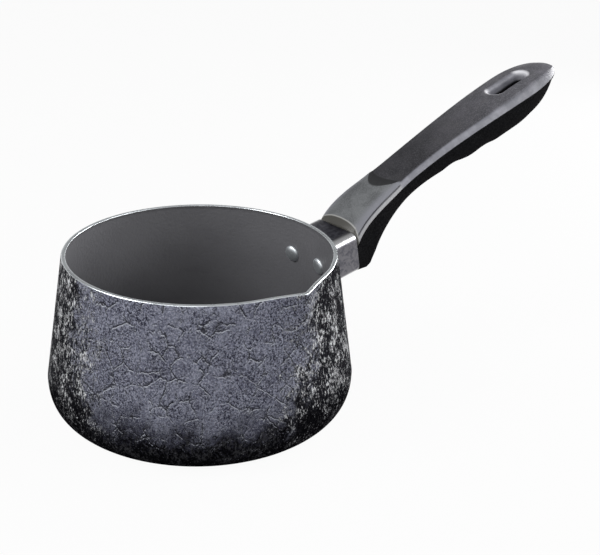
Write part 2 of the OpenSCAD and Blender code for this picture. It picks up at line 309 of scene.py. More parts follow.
def lip_distance(angle, z, skin):
    """Distance from the axis to the pressed lip, along a direction from the lip's middle."""
    grow = (z - LIP_Z) / LIP_DEPTH
    low = wall_radius(LIP_Z) - skin - LIP_INSET
    rim = RIM_R - skin - LIP_INSET
    nose = (LIP_RADIUS - skin) * grow
    nose_x = low + (RIM_R + LIP_REACH - LIP_RADIUS - low) * grow
    wall_x = low + (rim * math.cos(LIP_HALF_ANGLE) - low) * grow
    wall_y = rim * math.sin(LIP_HALF_ANGLE) * grow
    past_wall = angle - math.atan2(wall_y, wall_x)
    if past_wall > 0:
        return math.hypot(wall_x, wall_y) - past_wall * LIP_FADE
    reach = math.hypot(wall_x - nose_x, wall_y)
    swing = math.atan2(wall_y, wall_x - nose_x) - math.acos(min(1.0, nose / reach))
    s, c = math.sin(angle), math.cos(angle)
    inside = nose * nose - (nose_x * s) ** 2
    if inside >= 0:
        distance = nose_x * c + math.sqrt(inside)
        if math.atan2(distance * s, distance * c - nose_x) <= swing:
            return distance
    return (nose + nose_x * math.cos(swing)) / math.cos(angle - swing)


def press_lip(pan):
    """Draws the wall out to the lip, with a soft fold where the two meet."""
    for vertex in pan.data.vertices:
        x, y, z = vertex.co
        radius = math.hypot(x, y)
        if z <= LIP_Z:
            continue
        angle = abs((math.atan2(y, x) - LIP_ANGLE + math.pi) % (2 * math.pi) - math.pi)
        skin = wall_radius(z) - radius
        lip = lip_distance(angle, z, skin)
        soft = LIP_SOFT * min(1, (z - LIP_Z) / (0.3 * LIP_DEPTH)) + 1e-6
        fold = max(soft - abs(lip - radius), 0) / soft
        drawn = max(lip, radius) + fold * fold * soft / 4 * ease((z - LIP_Z) / (0.2 * LIP_DEPTH))
        vertex.co.x *= drawn / radius
        vertex.co.y *= drawn / radius


def build_pan(outside, inside, bare):
    pan = turned("pan_shell", pan_profile(), PAN_SIDES)
    press_lip(pan)
    for material in (outside, inside, bare):
        pan.data.materials.append(material)
    for face in pan.data.polygons:
        x, y, z = face.center
        radius = math.hypot(x, y)
        in_wall = radius > BASE_R and face.normal.dot(Vector((x, y, 0))) < 0
        in_floor = radius <= BASE_R and z > FLOOR / 2
        if z > HEIGHT - BARE_EDGE:
            face.material_index = 2
        elif in_wall or in_floor:
            face.material_index = 1
    smooth(pan, 40)
    return pan


# ---------------------------------------------------------------- rivets and screw

def rivet_place(side):
    lean = math.atan2(BELLY_R - RIM_R, HEIGHT - BELLY_Z)
    return (Matrix.Rotation(side * RIVET_SPREAD / 2, 4, "Z")
            @ Matrix.Translation((wall_radius(RIVET_Z), 0, RIVET_Z))
            @ Matrix.Rotation(math.pi / 2 - lean, 4, "Y"))


def build_rivet(name, side, metal):
    face = -WALL - SEAT
    dome = [(RIVET_HEAD_R * math.sin(math.radians(a)),
             face - RIVET_DOME * math.cos(math.radians(a)) ** 0.9) for a in span(0, 84, 12)]
    dome[0] = (0, face - RIVET_DOME)
    root = [(RIVET_HEAD_R, face + 0.1 * MM), (RIVET_HEAD_R - 0.2 * MM, face + 0.5 * MM),
            (RIVET_SHANK_R, face + 0.6 * MM)]
    tail_z = PLATE_FACE + RIVET_TAIL_H
    tail = [(RIVET_SHANK_R, PLATE_FACE), (RIVET_TAIL_R, PLATE_FACE + 0.1 * MM)]
    tail += arc((RIVET_TAIL_R - RIVET_TAIL_ROUND, tail_z - RIVET_TAIL_ROUND),
                RIVET_TAIL_ROUND, 0, 90, 4)
    rivet = turned(name, dome + root + tail + [(0, tail_z)], 48)
    settle(rivet, rivet_place(side))
    rivet.data.materials.append(metal)
    smooth(rivet, 40)
    return rivet


def seam_place():
    """At the middle of the collar's outer end, X along the collar."""
    return Matrix.Translation((SEAM_X, 0, SEAM_Z)) @ Matrix.Rotation(-TILT, 4, "Y")


def build_screw(metal):
    top = -BRACKET_SHEET / 2 - SCREW_LAND - SEAT
    low = top - SCREW_HEAD_H
    tip = BRACKET_SHEET / 2 + SCREW_END
    head = arc((SCREW_HEAD_R - SCREW_HEAD_ROUND, low + SCREW_HEAD_ROUND),
               SCREW_HEAD_ROUND, -90, 0, 5)
    shank = [(SCREW_HEAD_R, top), (SCREW_R, top), (SCREW_R, tip - SCREW_BEVEL),
             (SCREW_R - SCREW_BEVEL, tip), (0, tip)]
    screw = turned("screw_round_head", [(0, low)] + head + shank, 48)
    for size in ((CROSS_L, CROSS_W), (CROSS_W, CROSS_L)):
        deselect()
        bpy.ops.mesh.primitive_cube_add(size=1, location=(0, 0, low))
        tool = bpy.context.object
        tool.scale = (*size, SCREW_HEAD_H)
        bpy.ops.object.transform_apply(location=True, rotation=True, scale=True)
        cut(screw, tool)
    settle(screw, seam_place() @ Matrix.Translation((SCREW_OFFSET, 0, 0)))
    screw.data.materials.append(metal)
    smooth(screw, 35)
    return screw


# ---------------------------------------------------------------- collar

def rounded_box(name, size, centre, radius, segments):
    """A block along X whose four long edges are rounded."""
    deselect()
    bpy.ops.mesh.primitive_cube_add(size=1, location=centre)
    block = bpy.context.object
    block.name = block.data.name = name
    block.scale = size
    bpy.ops.object.transform_apply(location=True, rotation=True, scale=True)
    bpy.ops.object.mode_set(mode="EDIT")
    bpy.ops.mesh.select_mode(type="EDGE")
    bpy.ops.mesh.select_all(action="DESELECT")
    bpy.ops.object.mode_set(mode="OBJECT")
    for edge in block.data.edges:
        a, b = (block.data.vertices[i].co for i in edge.vertices)
        edge.select = abs(a.x - b.x) > size[0] / 2
    bpy.ops.object.mode_set(mode="EDIT")
    bpy.ops.mesh.bevel(offset=radius, offset_type="OFFSET", segments=segments, affect="EDGES")
    bpy.ops.object.mode_set(mode="OBJECT")
    return block


def pan_plug():
    """A solid of the pan's outside, a seat gap larger, to trim what meets the wall."""
    profile = [(0, 0)] + corner_curve(-SEAT, 0, 16) + [(wall_radius(HEIGHT) + SEAT, HEIGHT),
                                                       (0, HEIGHT)]
    return turned("pan_plug", profile, 192)


def build_collar(metal):
    length = COLLAR_LENGTH + COLLAR_BURY
    collar = rounded_box("collar_sleeve", (length, COLLAR_W, COLLAR_H), (-length / 2, 0, 0),
                         COLLAR_R, 10)
    bore = rounded_box("collar_bore", (2 * length, COLLAR_W - 2 * COLLAR_SHEET,
                                       COLLAR_H - 2 * COLLAR_SHEET), (-length / 2, 0, 0),
                       COLLAR_R - COLLAR_SHEET, 10)
    cut(collar, bore)
    apply_modifier(collar, "BEVEL", width=COLLAR_EDGE, segments=3, limit_method="ANGLE",
                   angle_limit=math.radians(60))
    settle(collar, seam_place())
    cut(collar, pan_plug())
    collar.data.materials.append(metal)
    smooth(collar, 30)
    return collar


# ---------------------------------------------------------------- handle

def line_z(x):
    """Height of the line that the depth below and the crown above are laid out from."""
    run = x - NECK_X
    return (HEIGHT + NECK_RISE + RISE * run - FLATTEN * run * run
            - DIP * math.exp(-(x - SEAM_X) / DIP_FADE))


def plunge(x):
    """How far the crease turns down below the line where it meets the collar."""
    return PLUNGE * math.exp(-(x - SEAM_X) / PLUNGE_FADE)


def tip_close(x):
    u = max(0.0, (x - PALM_X) / (TIP_X - PALM_X))
    return math.sqrt(max(0.0, 1 - u * u))


def half_width(x):
    if x < NECK_X:
        width = NECK_W + (FRONT_W - NECK_W) * (1 - ease((x - SEAM_X) / (NECK_X - SEAM_X)))
    else:
        width = NECK_W + (PALM_W - NECK_W) * ease((x - NECK_X) / (PALM_X - NECK_X))
    return width / 2 * tip_close(x)


def crown(x):
    rise = (PALM_CROWN - FRONT_CROWN) * (x - SEAM_X) / (PALM_X - SEAM_X)
    return (FRONT_CROWN + rise) * tip_close(x)


def slope(t):
    """A straight ramp from 0 to 1 with short rounded ends."""
    u = min(1.0, max(0.0, t))
    soft = 0.14
    if u < soft:
        return u * u / (2 * soft * (1 - soft))
    if u > 1 - soft:
        return 1 - (1 - u) ** 2 / (2 * soft * (1 - soft))
    return (u - soft / 2) / (1 - soft)


def pad_share(x, y_share):
    """0 on the raised front, 1 on the sunk grip pad, whose front edge is bowed."""
    bow = min(1.0, y_share / PAD_EDGE) ** 2
    ramp = PAD_RAMP * (1 - 0.78 * bow)
    return slope((x - SEAM_X - PAD_START - PAD_BOW * PAD_EDGE ** 2 * bow) / ramp)


def pad_lift(x, y_share):
    """Rise of the top face beside the sunk pad: all of it in front, half along the edges."""
    edge = 1 - ease((y_share - 0.88) / 0.12)
    beside = 0.5 * ease((y_share - 0.66) / 0.12)
    sunk = pad_share(x, y_share) * (1 - beside)
    return PAD_DROP * ease((x - SEAM_X) / PAD_START) * (1 - sunk) * edge * tip_close(x)


def wave(x):
    run = x - NECK_X - WAVE_PITCH
    fade = WAVE_PITCH / 3
    return (WAVE * (1 - math.cos(2 * math.pi * run / WAVE_PITCH))
            * ease(run / fade) * ease((2 * WAVE_PITCH - run) / fade))


def depth(x):
    heel = HEEL_DEPTH + line_z(x) - line_z(SEAM_X)
    corner = HEEL_DEPTH + line_z(HEEL_X) - line_z(SEAM_X)
    palm = PALM_DEPTH * ease((x - NECK_X) / (0.8 * (PALM_X - NECK_X)))
    grip = (NECK_DEPTH + palm - wave(x)
            + (corner - NECK_DEPTH) * math.exp(-(x - HEEL_X) / HEEL_FADE))
    return min(grip, heel) * tip_close(x)


def side_round(t):
    return (1 - t ** 3.2) ** (1 / 3.2)


def top_share(s):
    """Height of the top face from 1 in the middle to 0 at the crease: a gentle crown
    with a chamfer along the edge."""
    chamfer = max(0.0, (s - CHAMFER_START) / (1 - CHAMFER_START))
    bent = chamfer - 0.12 * math.sin(math.pi * chamfer) if chamfer < 1 else 1.0
    return (1 - CHAMFER_SHARE) * (1 - s ** 2.2) + CHAMFER_SHARE * (1 - bent)


def half_section(x):
    """Points (across, up) from the middle of the top face round to the middle below."""
    a, fall = half_width(x), plunge(x)
    z, c, d = line_z(x) - fall, crown(x) + fall, depth(x) - fall
    points = []
    for i in range(TOP_STEPS + 1):
        s = TOP_EDGE * math.sin(TOP_SWEEP * i / TOP_STEPS) / math.sin(TOP_SWEEP)
        points.append((a * s, z + c * top_share(s) + pad_lift(x, s)))
    under = min(OVERHANG, 0.25 * a)
    points.append((a, z - 0.3 * EDGE_DROP * tip_close(x)))
    points.append((a - 0.05 * MM * tip_close(x), z - EDGE_DROP * tip_close(x)))
    for t in span(0.035, SIDE_END, SIDE_STEPS):
        inner = (a - under) * (1 - SIDE_TAPER * t) * side_round(t)
        points.append((inner, z - d * t - EDGE_DROP * tip_close(x) * (1 - t)))
    for i in range(1, FLOOR_STEPS + 1):
        w = 1 - i / FLOOR_STEPS
        points.append((a * (1 - SIDE_TAPER) * FLOOR_SHARE * w, z - d * side_round(0.9 * w)))
    return points


def handle_rings():
    """Stations along the handle, closer at the collar, the pad's front and the tip,
    as (station, share of full section)."""
    front = [(SEAM_X, 1 - 0.045), (SEAM_X + 0.12 * MM, 1 - 0.02), (SEAM_X + 0.4 * MM, 1 - 0.006),
             (SEAM_X + 0.9 * MM, 1)]
    pad_x = SEAM_X + PAD_START
    pad_end = pad_x + PAD_BOW * PAD_EDGE ** 2 + PAD_RAMP
    body = [(x, 1) for x in span(SEAM_X + 2 * MM, pad_x - 1 * MM, 18)]
    body += [(x, 1) for x in span(pad_x, pad_end, 44)]
    body += [(x, 1) for x in span(pad_end + 1.5 * MM, PALM_X, 76)]
    tip = [(PALM_X + (TIP_X - PALM_X) * math.sin(math.radians(90 * j / 28)), 1)
           for j in range(1, 28)]
    return front + body + tip


def shape_handle(handle, rings, sides):
    """Moves each ring of the tube to its station, and marks at each point how far it is
    in the grip pad and how far out from the middle of the top face."""
    grip = handle.data.attributes.new("grip", "FLOAT", "POINT")
    outward = handle.data.attributes.new("outward", "FLOAT", "POINT")
    sections = [half_section(x) for x, _ in rings]
    for vertex in handle.data.vertices:
        station = round(vertex.co.z)
        x, share = rings[station]
        lean = math.tan(TILT) * (1 - ease((x - SEAM_X) / LEAN_FADE))
        if is_pole(vertex):
            if station == 0:
                vertex.co = (x, 0, SEAM_Z)
            else:
                vertex.co = (TIP_X, 0, line_z(TIP_X))
                grip.data[vertex.index].value = 1
            outward.data[vertex.index].value = 2
            continue
        turn = round(math.atan2(vertex.co.y, vertex.co.x) / (2 * math.pi) * sides)
        index = abs(turn)
        across, up = sections[station][index]
        across *= math.copysign(1, turn)
        across, up = across * share, SEAM_Z + (up - SEAM_Z) * share
        vertex.co = (x - lean * (up - SEAM_Z), across, up)
        y_share = min(1, abs(across) / max(half_width(x), 1e-6))
        grip.data[vertex.index].value = pad_share(x, y_share)
        below = index - TOP_STEPS
        outward.data[vertex.index].value = y_share if below <= 0 else 1 + 0.1 * below


def build_handle(plastic):
    rings = handle_rings()
    sides = 2 * len(half_section(SEAM_X)) - 2
    handle = tube("handle_grip", len(rings), sides)
    shape_handle(handle, rings, sides)
    face_outward(handle)
    cut(handle, slot_tool(handle))
    mark_slot(handle)
    handle.data.materials.append(plastic)
    smooth(handle, 32)
    return handle


def stadium(turn, half_length, radius):
    """A point of a slot outline of that end radius, reached by an even turn."""
    straight = half_length - radius
    x = math.copysign(straight, math.cos(turn)) if abs(math.cos(turn)) > 1e-9 else 0
    return x + radius * math.cos(turn), radius * math.sin(turn)


def slot_place():
    """At the slot's middle, X along the handle there."""
    tilt = math.atan(RISE - 2 * FLATTEN * (PALM_X - NECK_X))
    return Matrix.Translation((PALM_X, 0, line_z(PALM_X))) @ Matrix.Rotation(-tilt, 4, "Y")


def mark_slot(handle):
    """Gives the slot's upper mouth the painted highlight of the edges, brighter towards its
    ends, and its throat the near-black of the sides as painted shade."""
    inverse = slot_place().inverted()
    grip = handle.data.attributes["grip"].data
    outward = handle.data.attributes["outward"].data
    slot_highlight = handle.data.attributes.new("slot_highlight", "FLOAT", "POINT").data
    straight = (SLOT_L - SLOT_W) / 2
    for vertex in handle.data.vertices:
        spot = inverse @ vertex.co
        out = math.hypot(max(abs(spot.x) - straight, 0), spot.y) - SLOT_W / 2
        if out > SLOT_FLARE * SLOT_ROUND:
            continue
        share = out / (SLOT_FLARE * SLOT_ROUND)
        grip[vertex.index].value = 1
        # Painted shade in the lower half, painted highlights on the upper mouth
        if spot.z < 0:
            outward[vertex.index].value = 1.3
        else:
            outward[vertex.index].value = 0.985 - 0.55 * share ** 2
            bright = 1 - abs(2 * share - 0.9)
            slot_highlight[vertex.index].value = bright * ease((abs(spot.x) - straight) / (0.5 * SLOT_W))


def slot_tool(handle):
    """A cutter for the hanging slot whose mouths flare out to the faces around them."""
    place = slot_place()
    inverse = place.inverted()
    local = [inverse @ v.co for v in handle.data.vertices]
    tree = BVHTree.FromPolygons(local, [p.vertices[:] for p in handle.data.polygons])
    far = 60 * MM
    steps = 10
    flare = []
    for i in range(steps + 1):
        a = math.radians(82 * (1 - i / steps))
        flare.append((1 - math.cos(a), 1 - math.sin(a)))
    rings = [(SLOT_FLARE - 0.01, -1, -1)]
    rings += [(o, d, -1) for o, d in flare] + [(o, d, 1) for o, d in flare[::-1]]
    rings.append((SLOT_FLARE - 0.01, -1, 1))
    tool = tube("slot_tool", len(rings), 96)
    for vertex in tool.data.vertices:
        station = round(vertex.co.z)
        out, down, side = rings[station]
        mouth = SLOT_ROUND if side > 0 else 0.6 * SLOT_ROUND
        if is_pole(vertex):
            vertex.co = (0, 0, side * far / 2)
            continue
        turn = math.atan2(vertex.co.y, vertex.co.x)
        x, y = stadium(turn, SLOT_L / 2 + out * mouth, SLOT_W / 2 + out * mouth)
        hit = tree.ray_cast(Vector((x, y, side * far)), Vector((0, 0, -side)))[0]
        face = hit.z if hit is not None else 0
        vertex.co = (x, y, side * far / 2 if down < 0 else face - side * down * mouth)
    settle(tool, place)
    face_outward(tool)
    return tool


# ---------------------------------------------------------------- node helpers

def add(tree, kind, inputs=None, **settings):
    node = tree.nodes.new(kind)
    for key, value in settings.items():
        setattr(node, key, value)
    for key, value in (inputs or {}).items():
        if isinstance(value, bpy.types.NodeSocket):
            tree.links.new(value, node.inputs[key])
        else:
            node.inputs[key].default_value = value
    return node


def maths(tree, operation, first, second=0.0):
    return add(tree, "ShaderNodeMath", {0: first, 1: second}, operation=operation).outputs[0]


def times(tree, first, second):
    return maths(tree, "MULTIPLY", first, second)


def plus(tree, first, second):
    return maths(tree, "ADD", first, second)


def minus(tree, first, second):
    return maths(tree, "SUBTRACT", first, second)


def sway(tree, pattern, reach):
    """A pattern's value as a shift to either side of 0."""
    return times(tree, minus(tree, pattern, 0.5), reach)


def fade(tree, value, start, end, low=0.0, high=1.0):
    """Smooth change from low at start to high at end."""
    inputs = {"Value": value, "From Min": start, "From Max": end, "To Min": low, "To Max": high}
    node = add(tree, "ShaderNodeMapRange", inputs, interpolation_type="SMOOTHSTEP")
    return node.outputs["Result"]


def blend(tree, factor, first, second):
    node = add(tree, "ShaderNodeMix", {0: factor, 6: first, 7: second}, data_type="RGBA")
    return node.outputs[2]


def lay(tree, base, shade, mask, share):
    """A shade laid over the base where the mask is, up to a share of it."""
    return blend(tree, times(tree, mask, share), base, shade)


def noise(tree, place, scale, detail, rough, distortion=0.0):
    node = add(tree, "ShaderNodeTexNoise",
               {"Vector": place, "Scale": scale, "Detail": detail, "Roughness": rough,
                "Distortion": distortion})
    return node.outputs["Fac"]


def object_place(tree):
    return add(tree, "ShaderNodeTexCoord").outputs["Object"]


def split(tree, vector):
    return add(tree, "ShaderNodeSeparateXYZ", {"Vector": vector}).outputs


def stretched(tree, place, scale):
    return add(tree, "ShaderNodeMapping", {"Vector": place, "Scale": scale}).outputs[0]


def shifted(tree, place, shift):
    return add(tree, "ShaderNodeVectorMath", {0: place, 1: shift}, operation="ADD").outputs[0]


def scaled(tree, vector, scale):
    return add(tree, "ShaderNodeVectorMath", {0: vector, "Scale": scale},
               operation="SCALE").outputs[0]


def marked(tree, name):
    """A value held at each point of the mesh."""
    return add(tree, "ShaderNodeAttribute", attribute_name=name).outputs["Fac"]


def grey(level, tint):
    return (level * tint[0], level * tint[1], level * tint[2], 1)


def new_effect(name, inputs, outputs):
    """A shader node group with named number inputs and outputs."""
    group = bpy.data.node_groups.new(name, "ShaderNodeTree")
    group.interface.new_socket("Place", in_out="INPUT", socket_type="NodeSocketVector")
    for label, value in inputs.items():
        socket = group.interface.new_socket(label, in_out="INPUT", socket_type="NodeSocketFloat")
        socket.default_value = value
    for label in outputs:
        group.interface.new_socket(label, in_out="OUTPUT", socket_type="NodeSocketFloat")
    start = group.nodes.new("NodeGroupInput").outputs
    end = group.nodes.new("NodeGroupOutput").inputs
    return group, start, end


def use_effect(tree, group, place, **values):
    node = tree.nodes.new("ShaderNodeGroup")
    node.node_tree = group
    tree.links.new(place, node.inputs["Place"])
    for key, value in values.items():
        node.inputs[key].default_value = value
    return node.outputs


def grain_effect():
    """Fine moulded or sprayed grain: a height and a slow unevenness."""
    group, start, end = new_effect("surface_grain", {"Grain": 1500.0, "Drift": 60.0},
                                   ("Height", "Unevenness"))
    fine = noise(group, start["Place"], start["Grain"], 3, 0.6)
    slow = noise(group, start["Place"], start["Drift"], 4, 0.6)
    group.links.new(fine, end["Height"])
    group.links.new(slow, end["Unevenness"])
    return group


def smudge_effect():
    """Marks with soft borders."""
    group, start, end = new_effect("smudges", {"Size": 90.0, "Low": 0.5, "High": 0.65}, ("Mask",))
    wide = noise(group, start["Place"], start["Size"], 5, 0.65, 0.6)
    mask = fade(group, wide, start["Low"], start["High"])
    group.links.new(mask, end["Mask"])
    return group


def crease_lines(group, place, start):
    """Borders of wandering cells, broken up and of uneven width, and a band along them."""
    wander = add(group, "ShaderNodeTexNoise", {"Vector": place, "Scale": 230.0, "Detail": 5.0,
                                               "Roughness": 0.68})
    shift = add(group, "ShaderNodeVectorMath", {0: wander.outputs["Color"], 1: (0.5, 0.5, 0.5)},
                operation="SUBTRACT").outputs[0]
    warped = shifted(group, place, scaled(group, shift, start["Wander"]))
    cells = add(group, "ShaderNodeTexVoronoi", {"Vector": warped, "Scale": start["Cell"]},
                feature="DISTANCE_TO_EDGE").outputs["Distance"]
    spread = noise(group, place, 110.0, 5, 0.65)
    present = fade(group, spread, start["Cover"], plus(group, start["Cover"], 0.13))
    width = times(group, start["Width"], plus(group, present, 0.2))
    crease = fade(group, cells, 0.0, width, 1.0, 0.0)
    band = fade(group, cells, width, times(group, width, 6.0), 1.0, 0.0)
    return times(group, crease, present), times(group, band, present)


def crackle_effect():
    """Broken creases in a thick coating: the crease, a painted highlight along its lifted
    lower lip, and the stain round it."""
    group, start, end = new_effect("crackle", {"Cell": 85.0, "Width": 0.03, "Cover": 0.42,
                                               "Wander": 0.004, "Lip": 0.0006},
                                   ("Crease", "Highlit_Lip", "Stain"))
    place = start["Place"]
    crease, band = crease_lines(group, place, start)
    rise = add(group, "ShaderNodeCombineXYZ", {"Z": start["Lip"]}).outputs[0]
    lip = crease_lines(group, shifted(group, place, rise), start)[0]
    edge = times(group, minus(group, 1.0, crease), lip)
    group.links.new(crease, end["Crease"])
    group.links.new(edge, end["Highlit_Lip"])
    group.links.new(band, end["Stain"])
    return group


GRAIN = grain_effect()
SMUDGES = smudge_effect()
CRACKLE = crackle_effect()


def new_material(name, **constants):
    material = bpy.data.materials.new(name)
    material.use_nodes = True
    shader = material.node_tree.nodes["Principled BSDF"]
    for key, value in constants.items():
        shader.inputs[key.replace("_", " ")].default_value = value
    return material, material.node_tree, shader


def bump(tree, shader, height, distance, strength):
    node = add(tree, "ShaderNodeBump", {"Height": height, "Distance": distance,
                                        "Strength": strength})
    tree.links.new(node.outputs["Normal"], shader.inputs["Normal"])


def feed(tree, shader, **sockets):
    for key, socket in sockets.items():
        tree.links.new(socket, shader.inputs[key.replace("_", " ")])


# ---------------------------------------------------------------- shades

# Outside coating
SLATE = (0.104, 0.108, 0.148, 1)
LIGHT_SLATE = (0.172, 0.180, 0.230, 1)
SLATE_GRAIN = (0.300, 0.310, 0.370, 1)
CHAR = (0.011, 0.011, 0.021, 1)
FINE_LIP_HIGHLIGHT = (0.36, 0.37, 0.43, 1)
FINE_CREASE = (0.018, 0.018, 0.030, 1)
WIDE_LIP_HIGHLIGHT = (0.46, 0.48, 0.54, 1)
WIDE_CREASE = (0.008, 0.008, 0.014, 1)
SCORCH = (0.006, 0.006, 0.008, 1)
SCORCH_FLECK = (0.17, 0.17, 0.18, 1)
PALE_FLECK = (0.54, 0.55, 0.56, 1)
SOOT_AND_SHADE = (0.002, 0.002, 0.0026, 1)
ASH = (0.040, 0.040, 0.044, 1)

# Inside coating
NONSTICK = (0.098, 0.098, 0.105, 1)
LIGHT_NONSTICK = (0.130, 0.130, 0.139, 1)
NONSTICK_MARK = (0.082, 0.082, 0.088, 1)
NONSTICK_PAINTED_SHADE = (0.052, 0.052, 0.056, 1)
NONSTICK_PAINTED_LIGHT = (0.165, 0.165, 0.175, 1)

# Collar: painted reflection, light at its sides and dark mid-face; painted corner highlight
SHEET_REFLECTION_LIGHT = (0.165, 0.162, 0.176, 1)
SHEET_REFLECTION_DARK = (0.080, 0.080, 0.105, 1)
SMUDGE_REFLECTION_LIGHT = (0.095, 0.093, 0.108, 1)
SMUDGE_REFLECTION_DARK = (0.022, 0.022, 0.036, 1)
CORNER_HIGHLIGHT = (0.50, 0.50, 0.51, 1)
SCUFF = (0.42, 0.42, 0.43, 1)

# Handle: its front, its soft grip and its sides, with painted highlights and painted shade
SHELL = (0.075, 0.078, 0.082, 1)
LIGHT_SHELL = (0.120, 0.125, 0.130, 1)
SHELL_GRAIN = (0.165, 0.170, 0.176, 1)
SHELL_BAND_HIGHLIGHT = (0.165, 0.168, 0.188, 1)
SHELL_CREASE_HIGHLIGHT = (0.27, 0.27, 0.28, 1)
GROOVE = (0.02, 0.02, 0.022, 1)
CRESCENT_SHADE = (0.060, 0.058, 0.053, 1)
CRESCENT_HIGHLIGHT = (0.25, 0.25, 0.245, 1)
GRIP = (0.030, 0.030, 0.034, 1)
LIGHT_GRIP = (0.046, 0.045, 0.051, 1)
GRIP_GRAIN = (0.084, 0.083, 0.092, 1)
GRIP_MARK = (0.062, 0.061, 0.064, 1)
GRIP_EDGE_HIGHLIGHT = (0.130, 0.132, 0.152, 1)
PALE_GRIP_EDGE_HIGHLIGHT = (0.215, 0.217, 0.245, 1)
SLOT_HIGHLIGHT = (0.75, 0.75, 0.78, 1)
PAD_STEP_SHADE = (0.014, 0.014, 0.015, 1)
FLANK = (0.003, 0.003, 0.0035, 1)
LIGHT_FLANK = (0.011, 0.011, 0.012, 1)

# Bracket and screw
PLATED = (0.56, 0.57, 0.58, 1)
DULL_PLATED = (0.40, 0.40, 0.41, 1)


# ---------------------------------------------------------------- finishes

def crackled_coating():
    """Slate coating with fine creases, scorched in specks towards the handle and round
    the far side, and black with soot and painted shade under the belly."""
    material, tree, shader = new_material("crackled_coating", Specular_IOR_Level=0.0,
                                          Coat_Roughness=0.45, Coat_IOR=1.4)
    place = object_place(tree)
    up = split(tree, place)["Z"]
    grain = use_effect(tree, GRAIN, place, Grain=1250.0, Drift=120.0)
    wide = use_effect(tree, CRACKLE, place, Cell=98.0, Width=0.034, Cover=0.42, Wander=0.0038)
    fine = use_effect(tree, CRACKLE, place, Cell=190.0, Width=0.046, Cover=0.44, Wander=0.0026)
    specks = noise(tree, place, 1050.0, 5, 0.85)

    # How burnt: the turn round the pan from its least burnt side, with ragged borders
    ahead = add(tree, "ShaderNodeVectorRotate", {"Vector": place, "Angle": -FRONT_MIDDLE},
                rotation_type="Z_AXIS").outputs[0]
    ahead = split(tree, ahead)
    turn = maths(tree, "ABSOLUTE", maths(tree, "ARCTAN2", ahead["Y"], ahead["X"]))
    burnt = plus(tree, turn, fade(tree, up, HEIGHT, 0.0, -0.05, 0.16))
    burnt = plus(tree, burnt, sway(tree, noise(tree, place, 75.0, 6, 0.75), 1.3))
    burnt = plus(tree, burnt, sway(tree, specks, 1.1))

    # Dark specks, closer where the coating is charred, stained or patched, and closer
    #     # towards the soot and painted shade low on the belly
    patches = fade(tree, noise(tree, place, 66.0, 7, 0.75), 0.46, 0.57)
    charred = maths(tree, "MAXIMUM", fade(tree, burnt, 0.15, 0.62, 0.0, 0.5),
                    fade(tree, up, 50 * MM, 20 * MM, 0.0, 0.32))
    charred = maths(tree, "MAXIMUM", charred, times(tree, wide["Stain"], 0.35))
    thick = plus(tree, times(tree, patches, 0.45), plus(tree, charred, 0.46))
    dark_specks = times(tree, fade(tree, specks, 0.47, 0.54), thick)

    base = blend(tree, fade(tree, grain["Unevenness"], 0.35, 0.65), SLATE, LIGHT_SLATE)
    base = lay(tree, base, SLATE_GRAIN, fade(tree, grain["Height"], 0.48, 0.58), 0.65)
    base = blend(tree, dark_specks, base, CHAR)
    # Painted highlight along the lifted lower lip of each crease, beside its dark line
    base = lay(tree, base, FINE_LIP_HIGHLIGHT, fine["Highlit_Lip"], 0.35)
    base = lay(tree, base, FINE_CREASE, fine["Crease"], 0.75)
    base = lay(tree, base, WIDE_LIP_HIGHLIGHT, wide["Highlit_Lip"], 0.75)
    base = lay(tree, base, WIDE_CREASE, wide["Crease"], 0.92)

    # Scorched black with light flecks
    flecks = noise(tree, stretched(tree, place, (1.0, 1.0, 0.5)), 900.0, 4, 0.8)
    clumps = noise(tree, place, 130.0, 5, 0.65)
    lit = plus(tree, flecks, times(tree, clumps, 0.5))
    light_flecks = fade(tree, lit, 0.78, 0.812)
    scorch = blend(tree, light_flecks, SCORCH, SCORCH_FLECK)
    scorch = blend(tree, fade(tree, lit, 0.82, 0.87), scorch, PALE_FLECK)
    scorched = fade(tree, burnt, 0.65, 0.84)
    base = blend(tree, scorched, base, scorch)

    # Soot and painted shade round the belly's lower half
    height = plus(tree, up, sway(tree, noise(tree, place, 85.0, 6, 0.75), 40 * MM))
    height = plus(tree, height, sway(tree, specks, 105 * MM))
    low = fade(tree, height, 30 * MM, 15 * MM)
    base = blend(tree, low, base, lay(tree, SOOT_AND_SHADE, ASH, light_flecks, 0.6))

    relief = minus(tree, times(tree, wide["Highlit_Lip"], 0.4), wide["Crease"])
    relief = plus(tree, relief, times(tree, grain["Height"], 0.8))
    relief = minus(tree, relief, times(tree, fine["Crease"], 0.4))
    bump(tree, shader, relief, 0.4 * MM, 1.0)
    rough = fade(tree, specks, 0.3, 0.7, 0.6, 0.8)
    sheen = times(tree, fade(tree, low, 0.0, 1.0, 0.35, 0.0),
                  fade(tree, scorched, 0.0, 1.0, 1.0, 0.2))
    feed(tree, shader, Base_Color=base, Roughness=rough, Coat_Weight=sheen)
    return material


